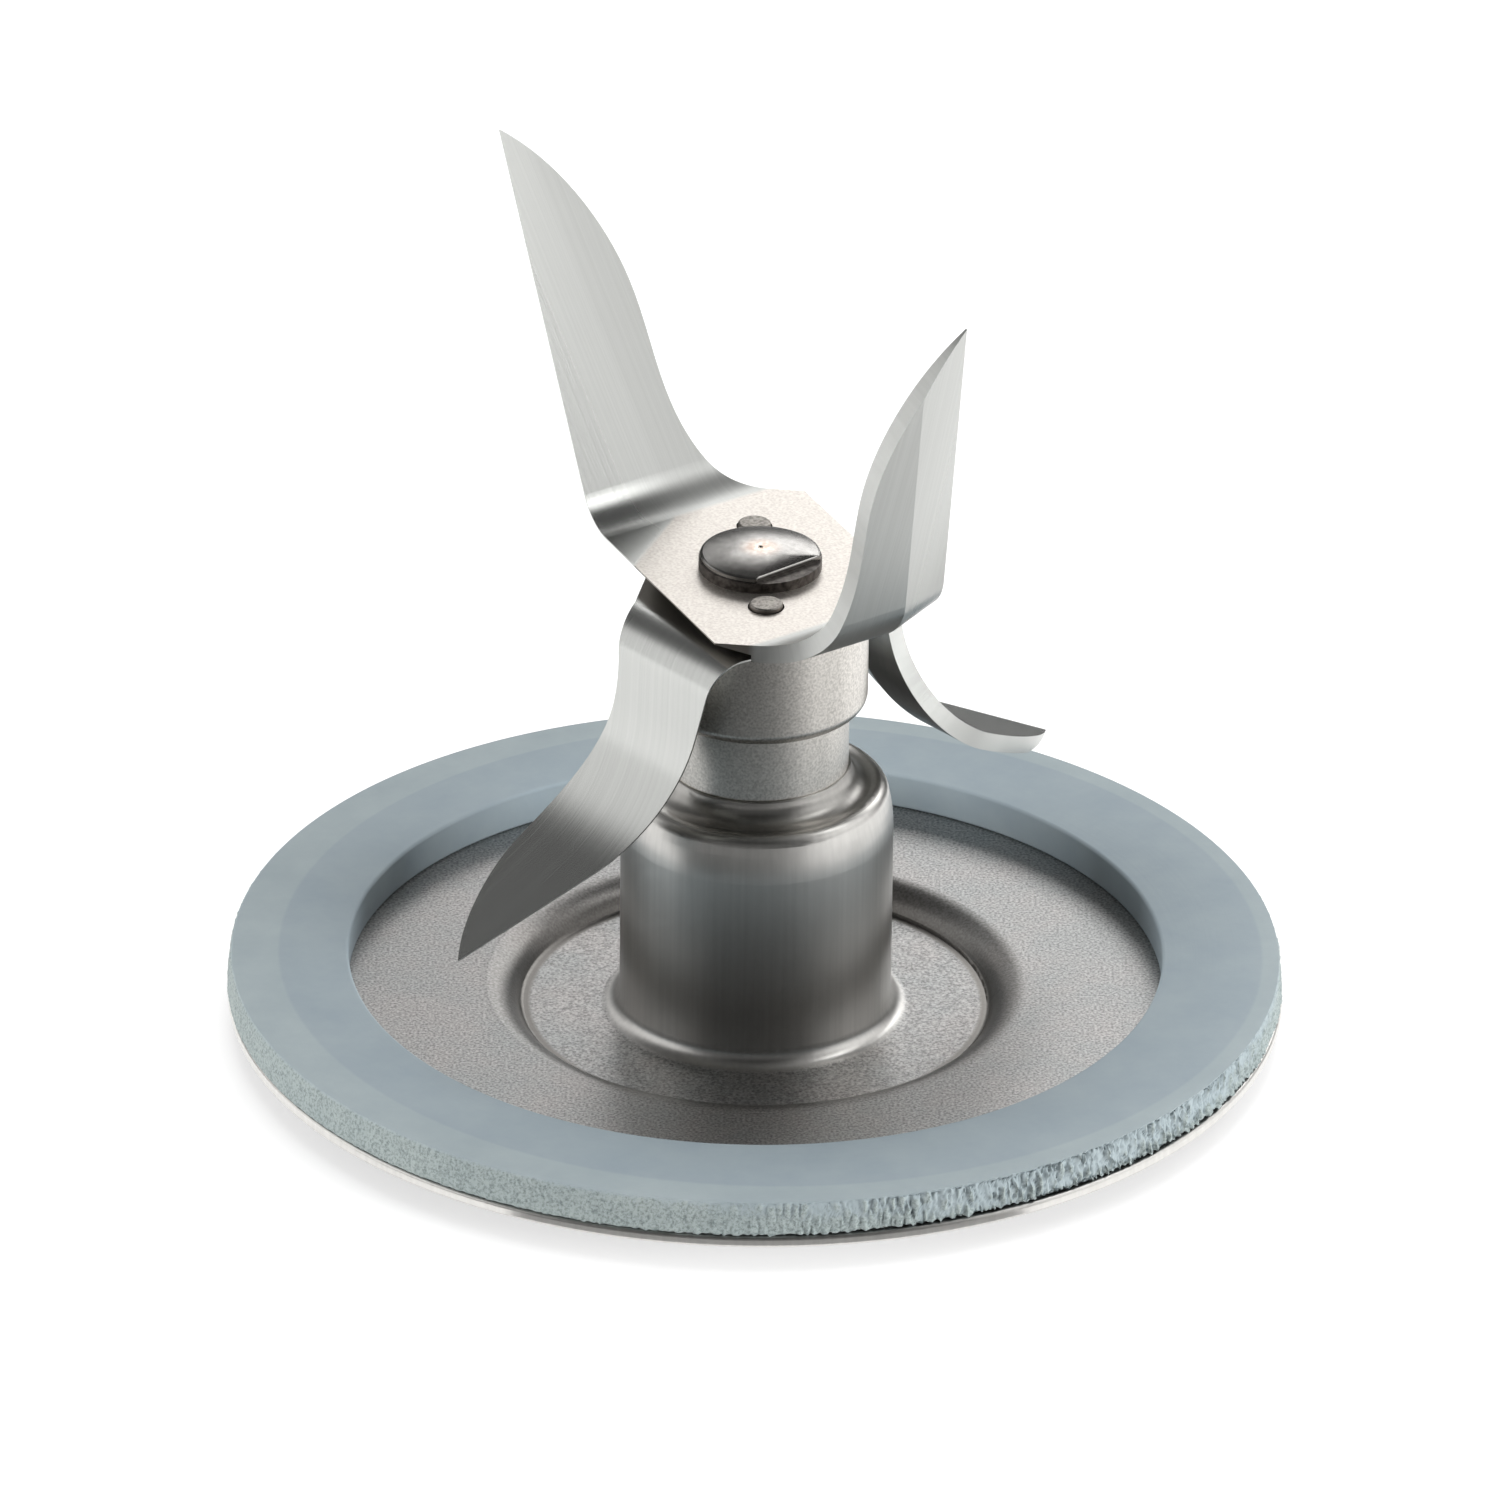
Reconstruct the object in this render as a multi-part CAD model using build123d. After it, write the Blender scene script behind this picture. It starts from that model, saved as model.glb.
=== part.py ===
from build123d import *
import os
from math import cos, degrees, radians, tan

# Blade assembly of a countertop blender. A stamped steel disc with a drawn bearing housing carries a
# rubber gasket and a turned bearing sleeve. A shaft runs in the sleeve: two bent blades are swaged on its
# upper end, and a socket for the motor's square stud is on its lower end.
# Millimetres. Z is the shaft's axis, and z = 0 is the underside of the sunken pan that the part stands on.

# Fits
seat_clearance = 0.02
running_clearance = 0.05
axial_play = 0.1

# Shaft with a flat on its upper end, swaged over a washer into a domed head
shaft_radius = 3.175
flat_offset = 2.85
flat_direction = -50
head_overhang = 0.775
head_rim = 0.27
head_dome = 0.45
head_corner = 0.25
head_edge = ((1.0, 0.0), (0.985, 0.13), (0.96, 0.215))
head_crown = ((0.96, 0.215), (0.86, 0.4), (0.72, 0.6), (0.54, 0.79), (0.34, 0.93), (0.15, 1.0))
centre_mark_radius = 0.4
centre_mark_depth = 0.06
head_washer_margin = 0.1
head_washer_thickness = 0.7

# Bearing sleeve round the shaft, and what it holds
bushing_wall = 1.055
sleeve_wall = 1.08
sleeve_reach = 5.25
neck_setback = 0.2
neck_height = 7.2
neck_edge = 0.3
retainer_thickness = 1.0
retainer_gap = 0.6
lower_bushing_length = 3.6
upper_bushing_length = 3.8
seal_length = 2.8
seal_lip = 0.575
seal_groove_depth = 1.0

# Stamped disc with its sunken pan and its drawn bearing housing
sheet = 0.8
disc_setback = 0.1
disc_edge = 0.25
pan_drop = 1.55
pan_floor = 6.56
pan_wall_run = 0.9
pan_corner = 0.3
pan_rim_round = 2.4
housing_step = 2.84
housing_height = 17.45
housing_foot = 1.2
brow_lean = 0.49
brow_height = 2.25
brow_blend = 9.0
brow_round = 0.9
lip_height = 1.45
lip_fillet = 1.35
lip_edge = 0.15

# Gasket that the jar's rim is screwed down on
gasket_outer_radius = 35.0
gasket_width = 7.95
gasket_flare = 0.2
gasket_thickness = 2.5
gasket_edge = 0.25

# Collar under the blades, a cup turned over the top of the neck
collar_height = 7.35
collar_round = 0.8
collar_skirt_wall = 1.08
collar_skirt_gap = 0.12
collar_skirt_depth = 3.2
thrust_washer_inset = 0.4
thrust_washer_thickness = 0.4

# Drive coupling with a square socket, low in the housing
coupling_gap = 0.74
coupling_bottom = 0.6
socket_width = 8.0
socket_depth = 6.4
socket_lead_in = 0.5
lower_washer_thickness = 0.5

# Blades: both are cut from strip and ground on the underside along one straight edge of each wing
blade_thickness = 1.2
bevel_width = 3.75
edge_land = 0.12
bend_step_angle = 12
boss_radius = 1.1
boss_circle_radius = 5.95
boss_direction = 94
boss_gap = 0.1
boss_proud = 0.3
boss_round = 0.15

# Upper blade: each wing is bent up once, and one wing stands steeper than the other.
# A blank's X runs outwards along the wing and its Y along the bend; the wing's ground edge is on +Y.
upper_direction = 125.75
upper_edge_offset = 7.49
upper_edge_skew = 10.2
upper_edge_root = -7.5
upper_tip = 38.3
upper_corner = 7.2
upper_waist_out = 18.6
upper_waist_back = 3.65
upper_belly_out = 26.0
upper_belly_back = 4.25
upper_shoulder_out = 32.6
upper_shoulder_back = 3.0
upper_bend_start = 9.1
upper_bend_radius = 4.6
upper_wing_angles = (48.8, 71.0)

# Lower blade: both wings are bent down beside the collar and flared out again
lower_direction = 221.8
lower_edge_offset = 9.85
lower_edge_skew = 15.8
lower_edge_root = 0.7
lower_tip = 36.9
lower_corner = 3.1
lower_waist_out = 12.4
lower_waist_back = 1.8
lower_belly_out = 26.0
lower_belly_back = 4.6
lower_shoulder_out = 32.0
lower_shoulder_back = 3.3
lower_bend_start = 8.19
lower_bend_radius = 2.5
lower_bend_angle = 88.1
flare_start = 15.4
flare_radius = 10.45
flare_angle = 62.2

# Radii that follow, from the shaft outwards
head_radius = shaft_radius + head_overhang
head_washer_radius = head_radius + head_washer_margin
shaft_bore_radius = shaft_radius + running_clearance
seal_groove_radius = shaft_bore_radius + seal_lip
bushing_radius = shaft_bore_radius + bushing_wall
sleeve_bore_radius = bushing_radius + seat_clearance
spigot_radius = sleeve_bore_radius + sleeve_wall
lip_bore_radius = spigot_radius + seat_clearance
lip_radius = lip_bore_radius + sheet
neck_radius = lip_radius - neck_setback
thrust_washer_radius = neck_radius - thrust_washer_inset
collar_bore_radius = neck_radius + collar_skirt_gap
collar_radius = collar_bore_radius + collar_skirt_wall
housing_radius = lip_radius + housing_step
brow_radius = housing_radius - brow_lean
retainer_radius = brow_radius - sheet - retainer_gap
coupling_radius = housing_radius - sheet - coupling_gap
pan_radius = housing_radius + pan_floor
gasket_foot_radius = gasket_outer_radius + gasket_flare
disc_radius = gasket_foot_radius - disc_setback
gasket_inner_radius = gasket_outer_radius - gasket_width

# Heights that follow
flange_top = pan_drop + sheet
gasket_top = flange_top + gasket_thickness
sleeve_bottom = housing_height - sleeve_reach
lip_top = housing_height + lip_height
neck_top = lip_top + neck_height
lower_bushing_top = sleeve_bottom + lower_bushing_length
seal_bottom = neck_top - seal_length
upper_bushing_bottom = seal_bottom - upper_bushing_length
washer_bottom = neck_top + axial_play
collar_ceiling = washer_bottom + thrust_washer_thickness
collar_bottom = collar_ceiling - collar_skirt_depth
collar_top = collar_bottom + collar_height
lower_blade_top = collar_top + blade_thickness
upper_blade_top = lower_blade_top + blade_thickness
head_bottom = upper_blade_top + head_washer_thickness
head_top = head_bottom + head_rim + head_dome
lower_washer_top = sleeve_bottom - axial_play
coupling_top = lower_washer_top - lower_washer_thickness
socket_end = coupling_bottom + socket_depth


def turned(outline):
    """Solid of revolution about the shaft's axis from a closed half outline of (radius, height) points."""
    profile = make_face(Polyline(*[(r, 0, z) for r, z in outline], close=True))
    return revolve(profile, Axis.Z)


def ring(inner, outer, bottom, top):
    """Plain ring, such as a washer or a bushing, between two heights."""
    return turned([(inner, bottom), (outer, bottom), (outer, top), (inner, top)])


def shaft_hole(bottom, top):
    """Hole for the shaft's flatted upper end, with the clearance of a seated fit."""
    round_hole = Pos(0, 0, bottom) * extrude(Circle(shaft_radius + seat_clearance), top - bottom)
    return round_hole - beyond_flat(seat_clearance, bottom, top)


def beyond_flat(clearance, bottom, top):
    """Block on the far side of the flat that the shaft's upper end and its head share."""
    width = 2 * collar_radius
    block = Box(collar_radius, width, top - bottom, align=(Align.MIN, Align.CENTER, Align.MIN))
    return Rot(0, 0, flat_direction) * Pos(flat_offset + clearance, 0, bottom) * block


def base_plate():
    """Disc, pan, housing and lip drawn from one sheet: the upper surface's line, thickened downwards."""
    surface = FilletPolyline(
        (disc_radius, 0, flange_top),
        (pan_radius + pan_wall_run, 0, flange_top),
        (pan_radius, 0, sheet),
        (housing_radius, 0, sheet),
        (housing_radius, 0, housing_height - brow_height),
        (brow_radius, 0, housing_height),
        (lip_radius, 0, housing_height),
        (lip_radius, 0, lip_top),
        radius=[pan_rim_round, pan_corner, housing_foot, brow_blend, brow_round, lip_fillet],
    )
    section = make_face(offset(surface, amount=sheet, side=Side.RIGHT))
    body = revolve(section, Axis.Z)
    lip_rim = body.edges().filter_by(GeomType.CIRCLE).group_by(Axis.Z)[-1].sort_by(SortBy.RADIUS)[-1]
    body = fillet(lip_rim, lip_edge)
    disc_rim = body.edges().filter_by(GeomType.CIRCLE).sort_by(SortBy.RADIUS)[-2:]
    return fillet(disc_rim, disc_edge)


def gasket():
    """Flat rubber ring that lies on the disc's flange, a little wider at its foot, with softened edges."""
    body = turned([
        (gasket_inner_radius, flange_top),
        (gasket_foot_radius, flange_top),
        (gasket_outer_radius, gasket_top),
        (gasket_inner_radius, gasket_top),
    ])
    return fillet(body.edges().filter_by(GeomType.CIRCLE), gasket_edge)


def bearing_sleeve():
    """Turned sleeve: its spigot fills the lip and its neck stands on the lip's edge."""
    return turned([
        (sleeve_bore_radius, sleeve_bottom),
        (spigot_radius, sleeve_bottom),
        (spigot_radius, lip_top),
        (neck_radius, lip_top),
        (neck_radius, neck_top - neck_edge),
        (neck_radius - neck_edge, neck_top),
        (sleeve_bore_radius, neck_top),
    ])


def bearing_retainer():
    """Ring pressed on the spigot, up against the inside of the housing's shoulder."""
    shoulder_inside = housing_height - sheet
    return ring(lip_bore_radius, retainer_radius, shoulder_inside - retainer_thickness, shoulder_inside)


def bushing(bottom, length):
    """Sintered bearing bush in the sleeve's bore."""
    return ring(shaft_bore_radius, bushing_radius, bottom, bottom + length)


def shaft_seal():
    """Lip seal in the top of the sleeve, with a grease groove round its inner lip."""
    return turned([
        (shaft_bore_radius, seal_bottom),
        (bushing_radius, seal_bottom),
        (bushing_radius, neck_top),
        (seal_groove_radius, neck_top),
        (seal_groove_radius, neck_top - seal_groove_depth),
        (shaft_bore_radius, neck_top - seal_groove_depth),
    ])


def head_outline(share):
    """Outline of the head at a share of its size: round with one flat, which fades out towards the crown."""
    flat = share * (flat_offset + (head_radius - flat_offset) * (1 - share))
    square = Rectangle(2 * head_radius, 2 * head_radius)
    outline = Circle(share * head_radius) - Rot(0, 0, flat_direction) * Pos(flat + head_radius, 0) * square
    return fillet(outline.vertices(), share * (head_corner + head_radius * (1 - share)))


def head_levels(levels):
    """Outlines of the head at levels that are given as shares of its size and of its dome."""
    rim_top = head_bottom + head_rim
    return [Pos(0, 0, rim_top + head_dome * rise) * head_outline(share) for share, rise in levels]


def shaft():
    """Round bar, flatted from the collar upwards, with its end swaged into a head like a small pillow."""
    bar = ring(0, shaft_radius, socket_end, head_bottom) - beyond_flat(0, collar_ceiling, head_bottom)
    rim = Pos(0, 0, head_bottom) * extrude(head_outline(1), head_rim)
    edge = loft(head_levels(head_edge), ruled=True)
    crown = loft(head_levels(head_crown))
    mark = Pos(0, 0, head_top) * Cone(0, centre_mark_radius, 2 * centre_mark_depth)
    return bar + rim + edge + crown - mark


def head_washer():
    """Washer between the head and the upper blade."""
    body = ring(0, head_washer_radius, upper_blade_top, head_bottom)
    return body - shaft_hole(upper_blade_top, head_bottom)


def collar():
    """Turned collar that the blades sit on; its skirt shrouds the top of the neck."""
    body = ring(0, collar_radius, collar_bottom, collar_top)
    body = fillet(body.edges().group_by(Axis.Z)[0], collar_round)
    recess = Pos(0, 0, collar_bottom) * extrude(Circle(collar_bore_radius), collar_skirt_depth)
    return body - recess - shaft_hole(collar_ceiling, collar_top)


def drive_coupling():
    """Turned hub pressed on the shaft's lower end, with a square socket that opens downwards."""
    mouth_width = socket_width + 2 * socket_lead_in
    hub = ring(0, coupling_radius, coupling_bottom, coupling_top)
    bore = Pos(0, 0, socket_end) * extrude(Circle(shaft_radius + seat_clearance), coupling_top - socket_end)
    socket = Pos(0, 0, coupling_bottom) * extrude(Rectangle(socket_width, socket_width), socket_depth)
    mouth = loft([
        Pos(0, 0, coupling_bottom) * Rectangle(mouth_width, mouth_width),
        Pos(0, 0, coupling_bottom + socket_lead_in) * Rectangle(socket_width, socket_width),
    ])
    return hub - bore - socket - mouth


def fold(bends, station):
    """Place on a bent strip's upper face at a distance along its blank: X runs outwards, Z off the face."""
    place = Location()
    reached = 0
    for start, radius, angle in bends:
        if station <= start:
            break
        turn = min(degrees((station - start) / radius), abs(angle))
        side = radius if angle > 0 else -radius
        tilt = -turn if angle > 0 else turn
        place = place * Pos(start - reached, 0, 0)
        place = place * Pos(0, 0, side) * Rot(0, tilt, 0) * Pos(0, 0, -side)
        reached = start + radius * radians(turn)
    return place * Pos(station - reached, 0, 0)


def bevel_line(depth):
    """Distance of the ground face from the edge's line at a depth below the strip's upper face."""
    return bevel_width * (depth - edge_land) / (blade_thickness - edge_land)


def strip_section(blank, skew, station):
    """Section of the flat strip at one station, along the bend, with the ground edge on its +Y side."""
    chord = blank & Line((station, -2 * upper_tip), (station, 2 * upper_tip))
    across = [vertex.Y for vertex in chord.vertices()]
    back, edge = min(across), max(across)
    ground = edge - bevel_width / cos(radians(skew))
    points = [(back, 0), (edge, 0), (edge, -edge_land), (ground, -blade_thickness), (back, -blade_thickness)]
    return make_face(Polyline(*[(0, y, z) for y, z in points], close=True))


def flat_strip(blank, distance, skew, start, end):
    """Flat stretch of the strip between two stations, ground on its underside along the straight edge."""
    window = Pos((start + end) / 2, 0) * Rectangle(end - start, 4 * upper_tip)
    stretch = extrude(blank & window, -blade_thickness)
    over = blade_thickness
    wedge = make_face(Polyline(
        (0, distance - bevel_line(2 * over), -2 * over),
        (0, distance - bevel_line(0), 0),
        (0, distance + bevel_width, 0),
        (0, distance + bevel_width, -2 * over),
        close=True,
    ))
    grinding = Rot(0, 0, -skew) * Pos(-2 * upper_tip, 0, 0) * extrude(wedge, 4 * upper_tip, dir=(1, 0, 0))
    return stretch - grinding


def bent_wing(blank, distance, skew, bends, tip):
    """Wing beyond the plate: each bend is lofted through its sections, each flat is cut from the blank."""
    pieces = []
    for index, (start, radius, angle) in enumerate(bends):
        end = start + radius * radians(abs(angle))
        following = bends[index + 1][0] if index + 1 < len(bends) else tip
        steps = 2 + round(abs(angle) / bend_step_angle)
        stations = [start + (end - start) * step / steps for step in range(steps + 1)]
        pieces.append(loft([fold(bends, s) * strip_section(blank, skew, s) for s in stations]))
        flat = Pos(-end, 0, 0) * flat_strip(blank, distance, skew, end, following)
        pieces.append(fold(bends, end) * flat)
    return pieces


def bent_blade(distance, skew, root, tip, corner, back, wings):
    """Two-winged blade, plate's upper face at z = 0: a blank that is the same at each end, then its bends."""
    plate_half = wings[0][0][0]
    edge_y = distance / cos(radians(skew))
    root_point = (root, edge_y - root * tan(radians(skew)))
    tip_point = (tip, edge_y - tip * tan(radians(skew)))
    corner_point = (plate_half, -corner)
    half_turn = Rot(0, 0, 180)
    half = [
        Line(root_point, tip_point),
        Spline(tip_point, *back, corner_point),
        Line(corner_point, (-root_point[0], -root_point[1])),
    ]
    blank = make_face(half + [half_turn * line for line in half])
    plate = flat_strip(blank, distance, skew, -plate_half, plate_half)
    body = plate & (half_turn * plate)
    for turn, bends in zip((Location(), half_turn), wings):
        for piece in bent_wing(blank, distance, skew, bends, tip):
            body = body + turn * piece
    return body


def boss_places():
    """Places of the two half-shear bosses that lock the blades together, one each side of the shaft."""
    return PolarLocations(boss_circle_radius, 2, boss_direction)


def upper_blade():
    """Blade with its wings bent up, one steeper than the other."""
    wings = [[(upper_bend_start, upper_bend_radius, angle)] for angle in upper_wing_angles]
    back = [
        (upper_shoulder_out, -upper_shoulder_back),
        (upper_belly_out, -upper_belly_back),
        (upper_waist_out, -upper_waist_back),
    ]
    body = bent_blade(
        upper_edge_offset, upper_edge_skew, upper_edge_root, upper_tip, upper_corner, back, wings,
    )
    body = Pos(0, 0, upper_blade_top) * Rot(0, 0, upper_direction) * body
    for place in boss_places():
        hole = Circle(boss_radius + boss_gap)
        body = body - Pos(0, 0, lower_blade_top) * place * extrude(hole, blade_thickness)
    return body - shaft_hole(lower_blade_top, upper_blade_top)


def lower_blade():
    """Blade with its wings bent down and flared out, and two bosses pushed up into the upper blade."""
    bends = [
        (lower_bend_start, lower_bend_radius, -lower_bend_angle),
        (flare_start, flare_radius, flare_angle),
    ]
    wings = [bends, bends]
    back = [
        (lower_shoulder_out, -lower_shoulder_back),
        (lower_belly_out, -lower_belly_back),
        (lower_waist_out, -lower_waist_back),
    ]
    body = bent_blade(
        lower_edge_offset, lower_edge_skew, lower_edge_root, lower_tip, lower_corner, back, wings,
    )
    body = Pos(0, 0, lower_blade_top) * Rot(0, 0, lower_direction) * body
    boss = extrude(Circle(boss_radius), blade_thickness + boss_proud)
    boss = fillet(boss.edges().group_by(Axis.Z)[-1], boss_round)
    for place in boss_places():
        body = body + Pos(0, 0, lower_blade_top) * place * boss
    return body - shaft_hole(collar_top, lower_blade_top)


nodes = {
    "base_plate": base_plate(),
    "gasket": gasket(),
    "bearing_sleeve": bearing_sleeve(),
    "bearing_retainer": bearing_retainer(),
    "lower_bushing": bushing(sleeve_bottom, lower_bushing_length),
    "oil_felt": bushing(lower_bushing_top, upper_bushing_bottom - lower_bushing_top),
    "upper_bushing": bushing(upper_bushing_bottom, upper_bushing_length),
    "shaft_seal": shaft_seal(),
    "shaft": shaft(),
    "lower_thrust_washer": ring(shaft_bore_radius, thrust_washer_radius, coupling_top, lower_washer_top),
    "upper_thrust_washer": ring(shaft_bore_radius, thrust_washer_radius, washer_bottom, collar_ceiling),
    "drive_coupling": drive_coupling(),
    "collar": collar(),
    "lower_blade": lower_blade(),
    "upper_blade": upper_blade(),
    "head_washer": head_washer(),
}

os.makedirs("parts", exist_ok=True)
for name, solid in nodes.items():
    solid.label = name
    export_step(solid, f"parts/{name}.step")
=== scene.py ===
import math

import bpy
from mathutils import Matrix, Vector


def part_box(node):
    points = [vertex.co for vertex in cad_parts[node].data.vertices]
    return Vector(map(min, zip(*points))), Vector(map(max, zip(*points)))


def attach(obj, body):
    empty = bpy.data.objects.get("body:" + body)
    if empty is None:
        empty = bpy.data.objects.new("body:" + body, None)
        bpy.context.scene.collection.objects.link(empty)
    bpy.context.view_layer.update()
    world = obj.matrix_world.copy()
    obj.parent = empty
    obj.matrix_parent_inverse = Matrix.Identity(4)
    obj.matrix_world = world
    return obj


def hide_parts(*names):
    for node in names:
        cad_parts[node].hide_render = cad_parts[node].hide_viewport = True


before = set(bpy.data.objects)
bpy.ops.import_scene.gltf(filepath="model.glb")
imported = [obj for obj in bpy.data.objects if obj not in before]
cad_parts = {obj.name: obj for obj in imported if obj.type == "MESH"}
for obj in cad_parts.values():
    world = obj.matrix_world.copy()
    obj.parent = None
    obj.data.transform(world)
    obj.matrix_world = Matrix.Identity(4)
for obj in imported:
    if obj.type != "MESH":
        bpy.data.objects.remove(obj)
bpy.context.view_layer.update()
bpy.ops.object.select_all(action="DESELECT")


# The disc: one stamped sheet of stainless steel, with a sunken pan and a bearing housing drawn up from it.
# It was tumbled with stones after stamping, which left its flats matt. The housing and the pan's wall slid over
# the drawing tools, which left them smoother, and the rim was cut last. The lip and the pan's wall are painted
# darker, as painted shade.
mm = 0.001
# The radii where the disc's zones end, and the sizes of its patterns, in millimetres.
disc_edge = 36.0
lip_end, housing_end, pan_start, pan_end, rim_start = 8.1, 9.75, 15.1, 17.5, 34.9
tumbled_patch = 5.0
tumbled_speckle = 0.18
speckle_depth = 0.02 * mm
draw_mark_width = 0.4
draw_mark_length = 14.0
# A mapping with this scale along Z leaves only the distance from the axis.
flattened = 1000.0


def linear(hex_colour):
    """Linear RGBA of an sRGB hex colour."""
    channels = [int(hex_colour[i:i + 2], 16) / 255 for i in (0, 2, 4)]
    return [c / 12.92 if c <= 0.04045 else ((c + 0.055) / 1.055) ** 2.4 for c in channels] + [1.0]


def add_node(tree, kind, settings=None, values=None, links=None):
    """Adds one node: its settings, the values of its sockets, and the outputs that its sockets take."""
    made = tree.nodes.new(kind)
    for name, value in (settings or {}).items():
        setattr(made, name, value)
    for socket, value in (values or {}).items():
        made.inputs[socket].default_value = value
    for socket, output in (links or {}).items():
        tree.links.new(output, made.inputs[socket])
    return made


def set_stops(ramp_node, stops):
    """Puts colour stops, each a place from 0 to 1 and a hex colour, on a new colour ramp."""
    elements = ramp_node.color_ramp.elements
    while len(elements) < len(stops):
        elements.new(1.0)
    for element, (position, colour) in zip(elements, stops):
        element.position = position
        element.color = linear(colour)


def new_material(name):
    """Starts a material: itself, its node tree, its shader and the object's own coordinates."""
    material = bpy.data.materials.new(name)
    material.use_nodes = True
    tree = material.node_tree
    place = add_node(tree, "ShaderNodeTexCoord").outputs["Object"]
    return material, tree, tree.nodes["Principled BSDF"], place


def dress(material, *nodes):
    """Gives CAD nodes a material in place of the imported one."""
    for name in nodes:
        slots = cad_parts[name].data.materials
        slots.clear()
        slots.append(material)


# Tumbled stainless: warm grey with broad faintly pink patches, and a speckle that is drawn a few times coarser
# than the real one so that it shows. It is satin grey, with faint marks along the draw, where it was drawn.
# The finish follows the distance from the axis: lip, housing, pan floor, pan wall, flange, cut rim.
tumbled_stainless, tree, shader, place = new_material("tumbled_stainless")
millimetres = add_node(
    tree, "ShaderNodeMapping", {"vector_type": "TEXTURE"}, {"Scale": (mm, mm, mm)}, {"Vector": place},
)
across_disc = add_node(
    tree, "ShaderNodeMapping", {"vector_type": "TEXTURE"},
    {"Scale": (disc_edge * mm, disc_edge * mm, flattened)}, {"Vector": place},
)
from_axis = add_node(
    tree, "ShaderNodeVectorMath", {"operation": "LENGTH"}, links={0: across_disc.outputs["Vector"]},
)
drawn = add_node(tree, "ShaderNodeValToRGB", links={"Fac": from_axis.outputs["Value"]})
set_stops(drawn, [
    (housing_end / disc_edge, "ffffff"), ((housing_end + 0.4) / disc_edge, "000000"),
    ((pan_start - 0.2) / disc_edge, "000000"), (pan_start / disc_edge, "ffffff"),
    (pan_end / disc_edge, "c0c0c0"), ((pan_end + 0.8) / disc_edge, "000000"),
    ((rim_start - 0.2) / disc_edge, "000000"), (rim_start / disc_edge, "ffffff"),
])
# The lip is painted greyer than the housing's wall and the pan's wall darkest of all, as painted shade at the
# neck's foot and in the sunken pan's wall; the cut rim is the brightest.
drawn_tone_and_painted_shade = add_node(tree, "ShaderNodeValToRGB", links={"Fac": from_axis.outputs["Value"]})
drawn_tone_and_painted_shade.color_ramp.interpolation = "CONSTANT"
set_stops(drawn_tone_and_painted_shade, [
    (0.0, "b0aeaa"), (lip_end / disc_edge, "d6d4d0"),
    ((housing_end + 2) / disc_edge, "6a6763"), ((pan_end + 5) / disc_edge, "eae8e4"),
])
patches = add_node(
    tree, "ShaderNodeTexNoise", values={"Scale": 1 / tumbled_patch, "Detail": 3.0, "Roughness": 0.6},
    links={"Vector": millimetres.outputs["Vector"]},
)
patch_colour = add_node(tree, "ShaderNodeValToRGB", links={"Fac": patches.outputs["Fac"]})
set_stops(patch_colour, [(0.36, "c2c3c2"), (0.64, "cac7c5")])
disc_speckle = add_node(
    tree, "ShaderNodeTexNoise", values={"Scale": 1 / tumbled_speckle, "Detail": 2.0},
    links={"Vector": millimetres.outputs["Vector"]},
)
speckle_colour = add_node(tree, "ShaderNodeValToRGB", links={"Fac": disc_speckle.outputs["Fac"]})
set_stops(speckle_colour, [(0.3, "acacac"), (0.7, "ffffff")])
# The mix node has a pair of sockets for each kind of data: its colours are 6 and 7, and their result is 2.
tumbled_colour = add_node(
    tree, "ShaderNodeMix", {"data_type": "RGBA", "blend_type": "MULTIPLY"}, {"Factor": 1.0},
    {6: patch_colour.outputs["Color"], 7: speckle_colour.outputs["Color"]},
)
along_draw = add_node(
    tree, "ShaderNodeMapping", {"vector_type": "TEXTURE"},
    {"Scale": (draw_mark_width, draw_mark_width, draw_mark_length)},
    {"Vector": millimetres.outputs["Vector"]},
)
draw_marks = add_node(
    tree, "ShaderNodeTexNoise", values={"Scale": 1.0, "Detail": 3.0},
    links={"Vector": along_draw.outputs["Vector"]},
)
draw_mark_colour = add_node(tree, "ShaderNodeValToRGB", links={"Fac": draw_marks.outputs["Fac"]})
set_stops(draw_mark_colour, [(0.3, "f4f4f4"), (0.7, "ffffff")])
drawn_colour = add_node(
    tree, "ShaderNodeMix", {"data_type": "RGBA", "blend_type": "MULTIPLY"}, {"Factor": 1.0},
    {6: drawn_tone_and_painted_shade.outputs["Color"], 7: draw_mark_colour.outputs["Color"]},
)
disc_colour = add_node(
    tree, "ShaderNodeMix", {"data_type": "RGBA"},
    links={"Factor": drawn.outputs["Color"], 6: tumbled_colour.outputs[2], 7: drawn_colour.outputs[2]},
)
disc_roughness = add_node(
    tree, "ShaderNodeMapRange", values={"To Min": 0.46, "To Max": 0.33},
    links={"Value": drawn.outputs["Color"]},
)
speckle_strength = add_node(
    tree, "ShaderNodeMapRange", values={"To Min": 0.5, "To Max": 0.12},
    links={"Value": drawn.outputs["Color"]},
)
disc_bump = add_node(
    tree, "ShaderNodeBump", values={"Distance": speckle_depth},
    links={"Height": disc_speckle.outputs["Fac"], "Strength": speckle_strength.outputs["Result"]},
)
shader.inputs["Metallic"].default_value = 1.0
tree.links.new(disc_colour.outputs[2], shader.inputs["Base Color"])
tree.links.new(disc_roughness.outputs["Result"], shader.inputs["Roughness"])
tree.links.new(disc_bump.outputs["Normal"], shader.inputs["Normal"])
dress(tumbled_stainless, "base_plate")


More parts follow.
